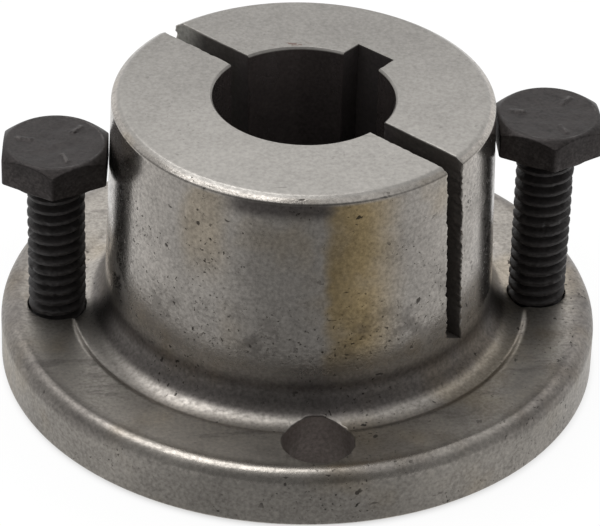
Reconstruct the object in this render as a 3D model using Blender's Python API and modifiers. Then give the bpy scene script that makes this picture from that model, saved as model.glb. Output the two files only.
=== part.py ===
"""Flanged split taper bushing with its two hexagon cap screws, in metres, +Z up.

The origin is the centre of the flange's bottom face, and the bore runs along Z. The screws
stand in the tapped holes on the X axis, and the plain screw holes are on the Y axis. The
bushing is one machined casting: a flange, a tapered barrel, a keyed bore and a saw slit.
"""

import math

import bmesh
import bpy

MM = 0.001
INCH = 0.0254

# Bore and keyway
BORE_DIAMETER = 3 / 4 * INCH
BORE_MOUTH_CHAMFER = 0.4 * MM
KEYWAY_WIDTH = 3 / 16 * INCH
KEYWAY_DEPTH = 2.2 * MM
KEYWAY_AZIMUTH = math.radians(45)

# Tapered barrel
BARREL_LENGTH = 1 * INCH
NOSE_WALL = 10.42 * MM
TAPER_ON_DIAMETER = 3 / 4 / 12
NOSE_CHAMFER_WIDTH = 0.95 * MM
NOSE_CHAMFER_HEIGHT = 0.6 * MM
NOSE_EDGE_RADIUS = 0.4 * MM
FOOT_FILLET_RADIUS = 3.3 * MM

# Saw slit across the barrel and square to the keyway, stopping above the flange. The cut is
# rough work: it runs a little to the keyway's side and leans, as sawn by eye.
SLIT_WIDTH = 2.45 * MM
SLIT_FLOOR_ABOVE_FLANGE = 4.0 * MM
SLIT_AZIMUTH = KEYWAY_AZIMUTH - math.radians(90)
SLIT_OFFSET_AT_NOSE = 0.54 * MM
SLIT_TURN = math.radians(-1.2)
SLIT_LEAN = math.radians(1.6)

# Flange
FLANGE_THICKNESS = 1 / 4 * INCH
FLANGE_RIM_LAND = 2.245 * MM
FLANGE_RIM_RADIUS = 1.8 * MM
FLANGE_BACK_CHAMFER = 0.3 * MM
RELIEF_WIDTH = 0.2 * MM
RELIEF_DEPTH = 0.35 * MM

# Screw holes
PLAIN_HOLE_DIAMETER = 7.5 * MM
PLAIN_HOLE_EDGE_BREAK = 0.22 * MM
TAPPED_HOLE_COUNTERSINK = 0.5 * MM

# Hexagon cap screws
SCREW_DIAMETER = 6.1 * MM
SCREW_LENGTH = 7 / 8 * INCH
SCREW_POINT_CHAMFER = 0.8 * MM
HEAD_ACROSS_FLATS = 10.85 * MM
HEAD_HEIGHT = 3.7 * MM
HEAD_TOP_DIAMETER = 10.4 * MM
HEAD_CHAMFER_ANGLE = math.radians(35)
WASHER_FACE_HEIGHT = 0.3 * MM
UNDERHEAD_FILLET = 0.3 * MM
LEFT_STAND = 16.6 * MM
RIGHT_STAND = 18.8 * MM
LEFT_HEAD_TURN = math.radians(25.4)
RIGHT_HEAD_TURN = math.radians(29.3)

# Screw thread, 20 turns to the inch: a V groove wound down the shank, right-handed
THREAD_PITCH = 1 / 20 * INCH
THREAD_DEPTH = 0.6 * THREAD_PITCH
THREAD_HALF_ANGLE = math.radians(30)
THREAD_START = 1.0 * MM

# Fits between the pieces
THREAD_CLEARANCE = 0.3 * MM
HEAD_TO_BARREL_GAP = 0.12 * MM

# Facets of a full turn
BUSHING_FACETS = 128
HOLE_FACETS = 36
HEAD_FACETS = 48
SCREW_FACETS = 16
ARC_FACETS = 5
FOOT_FACETS = 6

# How far a cutter runs past the wall that it cuts: in general, at a hole's flared mouth and
# outside a thread's crests
OVERCUT = 2.0 * MM
MOUTH_OVERCUT = 0.05 * MM
CREST_OVERCUT = 0.12 * MM

OBJECT_NAME = "flanged_bushing_with_screws"
SHARP_ANGLE = math.radians(28)

# Sizes that follow from those above
BORE_RADIUS = BORE_DIAMETER / 2
NOSE_HEIGHT = FLANGE_THICKNESS + BARREL_LENGTH
NOSE_RADIUS = BORE_RADIUS + NOSE_WALL


def barrel_radius(height):
    """Radius of the tapered barrel at a height above the flange's bottom face."""
    return NOSE_RADIUS + (NOSE_HEIGHT - height) * TAPER_ON_DIAMETER / 2


LOWER_HEAD_HEIGHT = FLANGE_THICKNESS + min(LEFT_STAND, RIGHT_STAND)
BOLT_CIRCLE_RADIUS = (
    barrel_radius(LOWER_HEAD_HEIGHT) + HEAD_ACROSS_FLATS / 2 + HEAD_TO_BARREL_GAP
)
FLANGE_RADIUS = BOLT_CIRCLE_RADIUS + PLAIN_HOLE_DIAMETER / 2 + FLANGE_RIM_LAND
TAPPED_HOLE_DIAMETER = SCREW_DIAMETER + 2 * THREAD_CLEARANCE


def clear_scene():
    """Removes what the scene already holds."""
    for obj in list(bpy.data.objects):
        bpy.data.objects.remove(obj, do_unlink=True)


def new_collection(name):
    collection = bpy.data.collections.new(name)
    bpy.context.scene.collection.children.link(collection)
    return collection


def arc(centre_x, centre_z, radius, start, end, facets=ARC_FACETS):
    """Points of a round stretch of a profile, from one angle to another, in degrees."""
    angles = [math.radians(start + (end - start) * i / facets) for i in range(facets + 1)]
    return [
        (centre_x + radius * math.cos(a), centre_z + radius * math.sin(a)) for a in angles
    ]


def profile_mesh(name, points, closed):
    """A profile in the XZ plane, whose points run down the outer side of the shape."""
    mesh = bpy.data.meshes.new(name)
    edges = [(i, i + 1) for i in range(len(points) - 1)]
    if closed:
        edges.append((len(points) - 1, 0))
    mesh.from_pydata([(x, 0, z) for x, z in points], edges, [])
    return mesh


def turned(name, points, collection, facets, closed=False):
    """A turned shape: the profile with a Screw modifier about the object's Z axis."""
    obj = bpy.data.objects.new(name, profile_mesh(name, points, closed))
    collection.objects.link(obj)
    screw = obj.modifiers.new("Turn", "SCREW")
    screw.axis = "Z"
    screw.angle = 2 * math.pi
    screw.steps = facets
    screw.render_steps = facets
    screw.use_merge_vertices = True
    screw.merge_threshold = 0.00001
    return obj


def block(name, collection, size_x, size_y, size_z):
    """A box centred on its own origin."""
    mesh = bpy.data.meshes.new(name)
    bm = bmesh.new()
    bmesh.ops.create_cube(bm, size=1.0)
    bmesh.ops.scale(bm, vec=(size_x, size_y, size_z), verts=bm.verts)
    bm.to_mesh(mesh)
    bm.free()
    obj = bpy.data.objects.new(name, mesh)
    collection.objects.link(obj)
    return obj


def hexagon_prism(name, collection, across_flats, bottom, top):
    """A six-sided bar along Z with a corner on the X axis."""
    mesh = bpy.data.meshes.new(name)
    bm = bmesh.new()
    corner_radius = across_flats / 2 / math.cos(math.pi / 6)
    bmesh.ops.create_cone(
        bm,
        cap_ends=True,
        segments=6,
        radius1=corner_radius,
        radius2=corner_radius,
        depth=top - bottom,
    )
    to_corner = math.atan2(bm.verts[:][0].co.y, bm.verts[:][0].co.x)
    turn_and_lift(bm, -to_corner, (top + bottom) / 2)
    bm.to_mesh(mesh)
    bm.free()
    obj = bpy.data.objects.new(name, mesh)
    collection.objects.link(obj)
    return obj


def turn_and_lift(bm, angle, height):
    """Turns a mesh about Z and moves it up, in its own coordinates."""
    cosine, sine = math.cos(angle), math.sin(angle)
    for vert in bm.verts:
        x, y, z = vert.co
        vert.co = (x * cosine - y * sine, x * sine + y * cosine, z + height)


def boolean(obj, other, operation):
    """Joins, cuts or intersects obj with a helper, which is then drawn as wire only."""
    modifier = obj.modifiers.new(operation.title() + " " + other.name, "BOOLEAN")
    modifier.object = other
    modifier.operation = operation
    modifier.solver = "EXACT"
    other.hide_render = True
    other.display_type = "WIRE"


def smooth_by_angle_group():
    """Geometry nodes that shade smooth, with edges over the sharp angle left sharp."""
    group = bpy.data.node_groups.new("Smooth by angle", "GeometryNodeTree")
    group.interface.new_socket("Geometry", in_out="INPUT", socket_type="NodeSocketGeometry")
    group.interface.new_socket("Geometry", in_out="OUTPUT", socket_type="NodeSocketGeometry")
    nodes, links = group.nodes, group.links
    start = nodes.new("NodeGroupInput")
    end = nodes.new("NodeGroupOutput")
    faces = nodes.new("GeometryNodeSetShadeSmooth")
    faces.domain = "FACE"
    edges = nodes.new("GeometryNodeSetShadeSmooth")
    edges.domain = "EDGE"
    edges.inputs["Shade Smooth"].default_value = False
    angle = nodes.new("GeometryNodeInputMeshEdgeAngle")
    sharp = nodes.new("FunctionNodeCompare")
    sharp.data_type = "FLOAT"
    sharp.operation = "GREATER_THAN"
    sharp.inputs["B"].default_value = SHARP_ANGLE
    links.new(start.outputs["Geometry"], faces.inputs["Geometry"])
    links.new(faces.outputs["Geometry"], edges.inputs["Geometry"])
    links.new(angle.outputs["Unsigned Angle"], sharp.inputs["A"])
    links.new(sharp.outputs["Result"], edges.inputs["Selection"])
    links.new(edges.outputs["Geometry"], end.inputs["Geometry"])
    return group


def shade(obj, group):
    modifier = obj.modifiers.new("Smooth by angle", "NODES")
    modifier.node_group = group


def metal(name, colour, roughness, metallic):
    """A Principled material with plain values."""
    material = bpy.data.materials.new(name)
    material.use_nodes = True
    shader = material.node_tree.nodes["Principled BSDF"]
    shader.inputs["Base Color"].default_value = (*colour, 1)
    shader.inputs["Roughness"].default_value = roughness
    shader.inputs["Metallic"].default_value = metallic
    material.diffuse_color = (*colour, 1)
    return material


def nose_edge(half_taper):
    """The worn chamfer from the nose face to the barrel, with both its corners rounded."""
    radius = NOSE_EDGE_RADIUS
    slope = math.degrees(math.atan(NOSE_CHAMFER_WIDTH / NOSE_CHAMFER_HEIGHT))
    upper = radius * math.tan(math.radians(90 - slope) / 2)
    lower = radius * math.tan(math.radians(slope - half_taper) / 2)
    foot = NOSE_HEIGHT - NOSE_CHAMFER_HEIGHT - lower
    return [
        *arc(NOSE_RADIUS - NOSE_CHAMFER_WIDTH - upper, NOSE_HEIGHT - radius, radius, 90, slope, 2),
        *arc(barrel_radius(foot) - radius, foot, radius, slope, half_taper, 2),
    ]


def bushing_profile():
    """The bushing's half section, down the outer side and back up the bore."""
    chamfer = BORE_MOUTH_CHAMFER
    top = FLANGE_THICKNESS
    floor = top - RELIEF_DEPTH
    half_taper = math.degrees(math.atan(TAPER_ON_DIAMETER / 2))
    fillet = FOOT_FILLET_RADIUS
    fillet_x = barrel_radius(floor + fillet) + fillet
    relief_end = fillet_x + RELIEF_WIDTH
    rim = FLANGE_RIM_RADIUS
    back = FLANGE_BACK_CHAMFER
    return [
        (BORE_RADIUS + chamfer, NOSE_HEIGHT),
        *nose_edge(half_taper),
        *arc(fillet_x, floor + fillet, fillet, 180 + half_taper, 270, FOOT_FACETS),
        (relief_end, floor),
        (relief_end + RELIEF_DEPTH, top),
        *arc(FLANGE_RADIUS - rim, top - rim, rim, 90, 0),
        (FLANGE_RADIUS, back),
        (FLANGE_RADIUS - back, 0),
        (BORE_RADIUS + chamfer, 0),
        (BORE_RADIUS, chamfer),
        (BORE_RADIUS, NOSE_HEIGHT - chamfer),
    ]


def hole_cutter(name, collection, diameter, edge_break):
    """A round hole through the flange whose two mouths flare by the edge break."""
    radius = diameter / 2
    top = FLANGE_THICKNESS
    mouth = radius + edge_break + MOUTH_OVERCUT
    points = [
        (0, top + OVERCUT),
        (mouth, top + OVERCUT),
        (mouth, top + MOUTH_OVERCUT),
        (radius, top - edge_break),
        (radius, edge_break),
        (mouth, -MOUTH_OVERCUT),
        (mouth, -OVERCUT),
        (0, -OVERCUT),
    ]
    return turned(name, points, collection, HOLE_FACETS)


def make_bushing(parts, cutters, material):
    """The casting: a turned body, with keyway, slit and four screw holes cut out of it."""
    body = turned("flanged_bushing", bushing_profile(), parts, BUSHING_FACETS, closed=True)
    body.data.materials.append(material)

    keyway_reach = BORE_RADIUS + KEYWAY_DEPTH
    keyway = block(
        "keyway_cutter", cutters, keyway_reach, KEYWAY_WIDTH, NOSE_HEIGHT + 2 * OVERCUT
    )
    keyway.location = (
        keyway_reach / 2 * math.cos(KEYWAY_AZIMUTH),
        keyway_reach / 2 * math.sin(KEYWAY_AZIMUTH),
        NOSE_HEIGHT / 2,
    )
    keyway.rotation_euler.z = KEYWAY_AZIMUTH
    boolean(body, keyway, "DIFFERENCE")

    slit_depth = BARREL_LENGTH - SLIT_FLOOR_ABOVE_FLANGE
    slit_length = 2 * (barrel_radius(FLANGE_THICKNESS) + OVERCUT)
    saw = bpy.data.objects.new("saw_plane", None)
    cutters.objects.link(saw)
    saw.location = (
        SLIT_OFFSET_AT_NOSE * math.cos(KEYWAY_AZIMUTH),
        SLIT_OFFSET_AT_NOSE * math.sin(KEYWAY_AZIMUTH),
        NOSE_HEIGHT,
    )
    saw.rotation_euler = (SLIT_LEAN, 0, SLIT_AZIMUTH + SLIT_TURN)
    slit = block("slit_cutter", cutters, slit_length, SLIT_WIDTH, slit_depth + OVERCUT)
    slit.parent = saw
    slit.location.z = (OVERCUT - slit_depth) / 2
    boolean(body, slit, "DIFFERENCE")

    for side, azimuth in (("front", -90), ("rear", 90), ("left", 180), ("right", 0)):
        if side in ("front", "rear"):
            hole = hole_cutter(
                side + "_plain_hole_cutter", cutters, PLAIN_HOLE_DIAMETER, PLAIN_HOLE_EDGE_BREAK
            )
        else:
            hole = hole_cutter(
                side + "_tapped_hole_cutter",
                cutters,
                TAPPED_HOLE_DIAMETER,
                TAPPED_HOLE_COUNTERSINK,
            )
        hole.location.x = BOLT_CIRCLE_RADIUS * math.cos(math.radians(azimuth))
        hole.location.y = BOLT_CIRCLE_RADIUS * math.sin(math.radians(azimuth))
        boolean(body, hole, "DIFFERENCE")
    return body


def shank_profile():
    """The screw below its hexagon, from inside the head down to the point."""
    radius = SCREW_DIAMETER / 2
    fillet = UNDERHEAD_FILLET
    washer = WASHER_FACE_HEIGHT
    washer_radius = HEAD_TOP_DIAMETER / 2
    return [
        (0, HEAD_HEIGHT / 2),
        (washer_radius - washer, HEAD_HEIGHT / 2),
        (washer_radius - washer, washer),
        (washer_radius, washer),
        (washer_radius, 0),
        *arc(radius + fillet, -fillet, fillet, 90, 180, 3),
        (radius, SCREW_POINT_CHAMFER - SCREW_LENGTH),
        (radius - SCREW_POINT_CHAMFER, -SCREW_LENGTH),
        (0, -SCREW_LENGTH),
    ]


def head_envelope_profile():
    """The chamfered blank that the hexagon is cut from, wide enough at its foot."""
    top_radius = HEAD_TOP_DIAMETER / 2
    reach = HEAD_ACROSS_FLATS
    drop = (reach - top_radius) * math.tan(HEAD_CHAMFER_ANGLE)
    return [
        (0, HEAD_HEIGHT),
        (top_radius, HEAD_HEIGHT),
        (reach, HEAD_HEIGHT - drop),
        (reach, -HEAD_HEIGHT),
        (0, -HEAD_HEIGHT),
    ]


def thread_groove(name, collection):
    """The groove between a thread's turns: its V section swept down a helix, past the point."""
    crest = SCREW_DIAMETER / 2 + CREST_OVERCUT
    root = SCREW_DIAMETER / 2 - THREAD_DEPTH
    half_width = (crest - root) * math.tan(THREAD_HALF_ANGLE)
    steps = math.ceil((SCREW_LENGTH - THREAD_START + half_width) / THREAD_PITCH * SCREW_FACETS)
    mesh = bpy.data.meshes.new(name)
    bm = bmesh.new()
    section = [
        bm.verts.new((crest, 0, half_width - THREAD_START)),
        bm.verts.new((root, 0, -THREAD_START)),
        bm.verts.new((crest, 0, -half_width - THREAD_START)),
    ]
    bm.faces.new(section)
    bmesh.ops.spin(
        bm,
        geom=bm.verts[:] + bm.edges[:] + bm.faces[:],
        axis=(0, 0, 1),
        angle=-2 * math.pi * steps / SCREW_FACETS,
        dvec=(0, 0, -THREAD_PITCH / SCREW_FACETS),
        steps=steps,
    )
    bmesh.ops.recalc_face_normals(bm, faces=bm.faces)
    bm.to_mesh(mesh)
    bm.free()
    obj = bpy.data.objects.new(name, mesh)
    collection.objects.link(obj)
    return obj


def make_cap_screw(name, parts, cutters, side, stand, turn, material):
    """A hexagon cap screw, its underhead plane at its own origin, on an empty on its axis."""
    axis = bpy.data.objects.new(name + "_axis", None)
    parts.objects.link(axis)
    axis.location = (side * BOLT_CIRCLE_RADIUS, 0, FLANGE_THICKNESS + stand)

    screw = hexagon_prism(name, parts, HEAD_ACROSS_FLATS, WASHER_FACE_HEIGHT, HEAD_HEIGHT + OVERCUT)
    envelope = turned(name + "_head_envelope", head_envelope_profile(), cutters, HEAD_FACETS)
    shank = turned(name + "_shank", shank_profile(), cutters, SCREW_FACETS)
    groove = thread_groove(name + "_thread_groove", cutters)
    for piece in (screw, envelope, shank, groove):
        piece.parent = axis
        piece.rotation_euler.z = turn
    boolean(screw, envelope, "INTERSECT")
    boolean(screw, shank, "UNION")
    boolean(screw, groove, "DIFFERENCE")
    screw.data.materials.append(material)
    return screw


def build():
    clear_scene()
    parts = new_collection(OBJECT_NAME)
    cutters = new_collection("cutters")
    grey_iron = metal("satin grey iron", (0.36, 0.35, 0.33), 0.42, 0.9)
    black_oxide = metal("black oxide steel", (0.035, 0.033, 0.033), 0.45, 0.6)

    bushing = make_bushing(parts, cutters, grey_iron)
    left = make_cap_screw(
        "cap_screw_left", parts, cutters, -1, LEFT_STAND, LEFT_HEAD_TURN, black_oxide
    )
    right = make_cap_screw(
        "cap_screw_right", parts, cutters, 1, RIGHT_STAND, RIGHT_HEAD_TURN, black_oxide
    )
    group = smooth_by_angle_group()
    for obj in (bushing, left, right):
        shade(obj, group)


build()
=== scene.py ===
"""Split taper bushing with two cap screws: the look of each piece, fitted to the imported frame.

Lengths in the formulas are in millimetres and become metres when a mesh is made. The bore
runs along Z, the screws stand on the X axis, and the plain screw holes are on the Y axis.
"""

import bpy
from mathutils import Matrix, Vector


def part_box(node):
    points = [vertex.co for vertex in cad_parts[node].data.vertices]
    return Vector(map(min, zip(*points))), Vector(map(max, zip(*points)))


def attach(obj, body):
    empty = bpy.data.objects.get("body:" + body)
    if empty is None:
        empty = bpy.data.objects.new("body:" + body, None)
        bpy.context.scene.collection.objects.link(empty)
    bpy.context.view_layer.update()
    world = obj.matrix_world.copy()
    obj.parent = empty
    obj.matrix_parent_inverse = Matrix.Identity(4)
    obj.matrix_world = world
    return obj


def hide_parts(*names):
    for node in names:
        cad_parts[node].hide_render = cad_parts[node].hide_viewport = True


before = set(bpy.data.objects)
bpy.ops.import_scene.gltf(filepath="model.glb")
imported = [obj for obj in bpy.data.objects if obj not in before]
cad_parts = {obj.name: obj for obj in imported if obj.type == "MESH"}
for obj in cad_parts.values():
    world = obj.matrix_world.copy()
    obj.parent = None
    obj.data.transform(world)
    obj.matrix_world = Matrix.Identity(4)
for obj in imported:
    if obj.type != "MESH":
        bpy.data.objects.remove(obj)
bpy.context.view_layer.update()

import math
from types import SimpleNamespace

import bpy
import numpy as np
from mathutils import Color, Quaternion, Vector

bl_info = {
    "name": "Split taper bushing",
    "version": (1, 0, 0),
    "blender": (4, 5, 0),
    "location": "3D View > Sidebar > Bushing",
    "description": "Dresses a flanged split taper bushing and its two cap screws",
    "category": "Add Mesh",
}

MM = 0.001
ARC_STEPS = 7
BUSHING_NODE = "flanged_bushing"
SCREWS = {
    "left": ("cap_screw_left", "left_screw"),
    "right": ("cap_screw_right", "right_screw"),
}
BUSHING_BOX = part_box(BUSHING_NODE)

# Edges of the bushing, in millimetres
BORE_CHAMFER = 0.22
BORE_BACK_CHAMFER = 0.4
WORN_EDGE_WIDTH = 0.95
WORN_EDGE_HEIGHT = 0.6
RIM_RADIUS = 1.8
BACK_CHAMFER = 0.3
FLARE_REACH = 0.3

# Walls of the slit and the keyway: a seed for each, and the round of their edges. The slit's marks
# are waves for each millimetre along and up, their depth, and the depth added near the skin.
SLIT_SEEDS = {1: 11, -1: 23}
SLIT_EDGE = 0.11
SLIT_MARKS = ((0.7, 1.1, 0.04, 0.0), (1.2, 1.9, 0.03, 0.3), (2.5, 4.1, 0.02, 0.22))
KEYWAY_SEEDS = {1: 41, -1: 53}
KEYWAY_EDGE = 0.08

# Holes in the flange: name, azimuth in degrees, size, round of the edge and chips, in millimetres
HOLES = (
    ("front_hole", -90, "plain_hole_diameter", 0.14, 0.5),
    ("rear_hole", 90, "plain_hole_diameter", 0.14, 0.5),
    ("left_hole", 180, "tapped_hole_diameter", 0.12, 0.0),
    ("right_hole", 0, "tapped_hole_diameter", 0.12, 0.0),
)

# Cap screws, in millimetres
CORNER_WEAR = 0.07
WASHER_INSET = 0.05
WASHER_HEIGHT = 0.3
RELIEVED_SHANK = 0.93
POINT_CHAMFER = 0.8
DISH_DEPTH = 0.1
DASH_AZIMUTHS = (20, 140, 260)
DASH_ENDS = (2.3, 4.3)
DASH_HALF_WIDTH = 0.32
DASH_HEIGHT = 0.17

# Marks on the iron as windows (start, full, falling, end), in radians round the bore and in metres
BARREL_SIDE = (0.009, 0.015, 0.0307, 0.0312)
STAIN_BAND = (-1.57, -1.48, -1.34, -1.07)
STAIN_PATCH = (-2.34, -2.22, -2.12, -1.98)
# The dark band under the nose's edge at the front is a painted reflection.
REFLECTION_AZIMUTH = (-2.1, -1.95, -1.56, -1.46)
REFLECTION_HEIGHT = (0.0288, 0.0302, 0.0309, 0.0313)
# The dark patch on the foot at the front is painted shade.
FRONT_SHADE_AZIMUTH = (-1.68, -1.58, -1.3, -1.1)
FRONT_SHADE_RADIUS = (0.0204, 0.0212, 0.0222, 0.0228)
PITTED_HEIGHT = (0.0105, 0.0135, 0.0165, 0.021)
RUST_AZIMUTH = (1.38, 1.5, 1.72, 1.86)
RUST_RADIUS = (0.0098, 0.0101, 0.0104, 0.0108)

# Pits: the noise's scale and threshold for each kind. Scratches are pits that are drawn out.
SPECKS = (2400.0, 0.645)
FINE_PITS = (1200.0, 0.667)
LARGE_PITS = (620.0, 0.692)
SCRATCHES = (900.0, 0.708)
DRAWN_OUT = {"Rotation": (0.5, 0.25, 0.7), "Scale": (0.22, 1.0, 1.0)}

# Greys of the card tent: by azimuth from the camera, where 1 is half a turn, and by elevation
# behind and in front, where 1 is straight up
FLOOR_GREYS = ((0, 0.26), (0.11, 0.3), (0.22, 0.55), (0.33, 0.57), (0.44, 0.7), (0.56, 0.9), (0.67, 1))
BACK_GREYS = ((0, 1.05), (0.55, 1.05), (0.72, 0.7), (1, 0.45))
FRONT_GREYS = ((0, 0.13), (0.5, 0.15), (0.7, 0.3), (1, 0.45))
SIDE_LIFT = 2.3

# The stage, in millimetres: the tent's foot, its lowest point, reach, shoulder and rise, and the floor
TENT_FOOT = 31.9
TENT_GAP = 0.03
TENT_REACH = 700
TENT_SHOULDER = 380
TENT_RISE = 520
FLOOR_RINGS = (2, 50, 200, 800, 3000)
FLOOR_DROP = 0.2
FLOOR_COLUMNS = 96
# Lamp and camera, in metres
LAMP_PLACE = (-0.15, 0.12, 0.6)
LAMP_SIZE = (0.32, 0.4)
LAMP_POWER = 1.1
CAMERA_TARGET = (0.000113, -0.000011, 0.010714)


# Shapes, worked out as whole arrays


def value_noise(x, y, seed):
    """Smooth noise from 0 to 1: random heights on a unit grid, blended by 3t^2 - 2t^3."""
    heights = np.random.default_rng(seed).random((97, 97))
    i = np.floor(x).astype(int)
    j = np.floor(y).astype(int)
    s = x - i
    t = y - j
    s = s * s * (3 - 2 * s)
    t = t * t * (3 - 2 * t)
    low = heights[i % 97, j % 97] * (1 - s) + heights[(i + 1) % 97, j % 97] * s
    high = heights[i % 97, (j + 1) % 97] * (1 - s) + heights[(i + 1) % 97, (j + 1) % 97] * s
    return low * (1 - t) + high * t


def rounded(corners, radii, steps=ARC_STEPS):
    """Turns the corners of an outline into arcs, and returns its points in order.

    Each arc touches both sides of its corner: it starts radius / tan(half angle) away from
    the corner, and its centre is radius / sin(half angle) along the bisector. corners is an
    array of (corner, column, 2), so one call rounds the outline of every column at once.
    """
    before = np.roll(corners, 1, axis=0) - corners
    after = np.roll(corners, -1, axis=0) - corners
    before /= np.linalg.norm(before, axis=-1, keepdims=True)
    after /= np.linalg.norm(after, axis=-1, keepdims=True)
    half = np.arccos(np.clip((before * after).sum(-1), -1, 1)) / 2
    radii = np.asarray(radii, float)[:, None]
    bisector = before + after
    bisector /= np.linalg.norm(bisector, axis=-1, keepdims=True)
    centre = corners + bisector * (radii / np.sin(half))[..., None]
    start = corners + before * (radii / np.tan(half))[..., None] - centre
    end = corners + after * (radii / np.tan(half))[..., None] - centre
    sweep = (np.pi - 2 * half)[..., None]
    share = np.linspace(0, 1, steps)[:, None, None, None]
    arcs = (np.sin((1 - share) * sweep) * start + np.sin(share * sweep) * end) / np.sin(sweep)
    points = centre + arcs
    return points.swapaxes(0, 1).reshape(-1, *corners.shape[1:])


def skin(rows, closed_rows):
    """Faces of a grid of points (row, column) whose columns run round the shape.

    The last column joins the first. The last row joins the first on a ring, and otherwise
    one flat polygon closes each end. The faces are turned to point outwards, which is where
    the summed signed volume of the shape is above zero.
    """
    count, columns = rows.shape[:2]
    index = np.arange(count * columns).reshape(count, columns)
    below = np.roll(index, -1, axis=0) if closed_rows else index[1:]
    above = index if closed_rows else index[:-1]
    quads = np.stack(
        [above, np.roll(above, -1, axis=1), np.roll(below, -1, axis=1), below], axis=-1
    ).reshape(-1, 4)
    flat = rows.reshape(-1, 3)
    a, b, c, d = (flat[quads[:, k]] for k in range(4))
    volume = np.einsum("ij,ij->i", a, np.cross(b, c) + np.cross(c, d)).sum()
    faces = quads.tolist()
    if not closed_rows:
        faces += [index[0, ::-1].tolist(), index[-1].tolist()]
    return faces if volume > 0 else [face[::-1] for face in faces]


def grid_object(name, rows, closed_rows=False):
    """A mesh object from a grid of points in millimetres, with its place in its mesh."""
    mesh = bpy.data.meshes.new(name)
    mesh.from_pydata((rows.reshape(-1, 3) * MM).tolist(), [], skin(rows, closed_rows))
    mesh.update()
    obj = bpy.data.objects.new(name, mesh)
    bpy.context.scene.collection.objects.link(obj)
    return obj


def turned_rows(outline, columns):
    """A profile (r, z) carried round Z: x = r cos(angle), y = r sin(angle)."""
    angle = np.linspace(0, 2 * np.pi, columns, endpoint=False)
    r = outline[:, 0, 0][:, None] * np.ones(columns)
    z = outline[:, 0, 1][:, None] * np.ones(columns)
    return np.stack([r * np.cos(angle), r * np.sin(angle), z], axis=-1)


def edge_flare(depth, radius):
    """How far a cut's wall steps back at a depth below the surface, so that its edge is round.

    The wall follows a quarter circle: radius - sqrt(radius^2 - (radius - depth)^2). Outside
    the surface it keeps widening at 45 degrees for a short reach.
    """
    inside = np.clip(depth, 0, radius)
    step = radius - np.sqrt(np.maximum(radius**2 - (radius - inside) ** 2, 0))
    return step + np.clip(-depth, 0, FLARE_REACH)


def slot_rows(along, up, half_width, place):
    """A saw cut or keyway as a solid: at each station its section is a loop up one wall and
    down the other, and half_width(along, up, side) gives each wall's distance from the middle.
    """
    a, u = np.meshgrid(along, up, indexing="ij")
    right = place(a, half_width(a, u, 1), u)
    left = place(a, -half_width(a, u, -1), u)
    return np.concatenate([right, left[:, ::-1]], axis=1)


def barrel_radius(sizes, z):
    """Radius of the tapered barrel at a height, in millimetres."""
    return sizes.nose_diameter / MM / 2 + (sizes.height / MM - z) * sizes.taper / 2


def bushing_outline(sizes):
    """The bushing's half section as corners (r, z) with the radius of each."""
    height = sizes.height / MM
    bore = sizes.bore_diameter / MM / 2
    rim = sizes.flange_diameter / MM / 2
    top = sizes.flange_thickness / MM
    groove = top - sizes.groove_depth / MM
    foot = barrel_radius(sizes, groove)
    nose = barrel_radius(sizes, height)
    groove_end = sizes.groove_diameter / MM / 2
    corners = [
        (bore + BORE_CHAMFER, height, 0.08),
        (nose - WORN_EDGE_WIDTH, height, 0.6),
        (nose + 0.019, height - WORN_EDGE_HEIGHT, 0.35),
        (foot, groove, sizes.foot_radius / MM),
        (groove_end - 0.5, groove, 0.6),
        (groove_end, top, 1.2),
        (rim, top, RIM_RADIUS),
        (rim, BACK_CHAMFER, 0.15),
        (rim - BACK_CHAMFER, 0, 0.15),
        (bore + BORE_BACK_CHAMFER, 0, 0.15),
        (bore, BORE_BACK_CHAMFER, 0.15),
        (bore, height - BORE_CHAMFER, 0.08),
    ]
    table = np.array(corners)
    return rounded(table[:, None, :2], table[:, 2])


def top_outline(sizes):
    """The part of the outline from the nose's edge over the barrel and the flange to its rim."""
    return bushing_outline(sizes)[ARC_STEPS : 7 * ARC_STEPS, 0]


def depth_under_skin(sizes, points):
    """How deep points lie under the turned surfaces, 0 or less on them.

    It is the least of four distances: to the top and to the flange's back along Z, and to
    the outside and to the bore along the radius.
    """
    top = top_outline(sizes)
    barrel = top[ARC_STEPS : 3 * ARC_STEPS][::-1]
    r = np.hypot(points[:, 0], points[:, 1])
    z = points[:, 2]
    under_top = np.interp(r, top[:, 0], top[:, 1]) - z
    outside = np.where(z < barrel[0, 1], top[-1, 0], np.interp(z, barrel[:, 1], barrel[:, 0]))
    bore = sizes.bore_diameter / MM / 2
    return np.min([under_top, outside - r, z, r - bore], axis=0)


def write_attribute(mesh, name, values):
    """Keeps one number for each point of a mesh, for its material."""
    attribute = mesh.attributes.new(name, "FLOAT", "POINT")
    attribute.data.foreach_set("value", values.astype(np.float32).ravel())


def cut(body, cutter):
    """Takes the cutter out of the body and keeps the finished mesh."""
    modifier = body.modifiers.new("Cut", "BOOLEAN")
    modifier.object = cutter
    modifier.operation = "DIFFERENCE"
    modifier.solver = "MANIFOLD"
    graph = bpy.context.evaluated_depsgraph_get()
    finished = bpy.data.meshes.new_from_object(body.evaluated_get(graph))
    finished.materials.clear()
    body.modifiers.clear()
    old = body.data
    body.data = finished
    bpy.data.meshes.remove(old)
    bpy.data.objects.remove(cutter, do_unlink=True)


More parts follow.
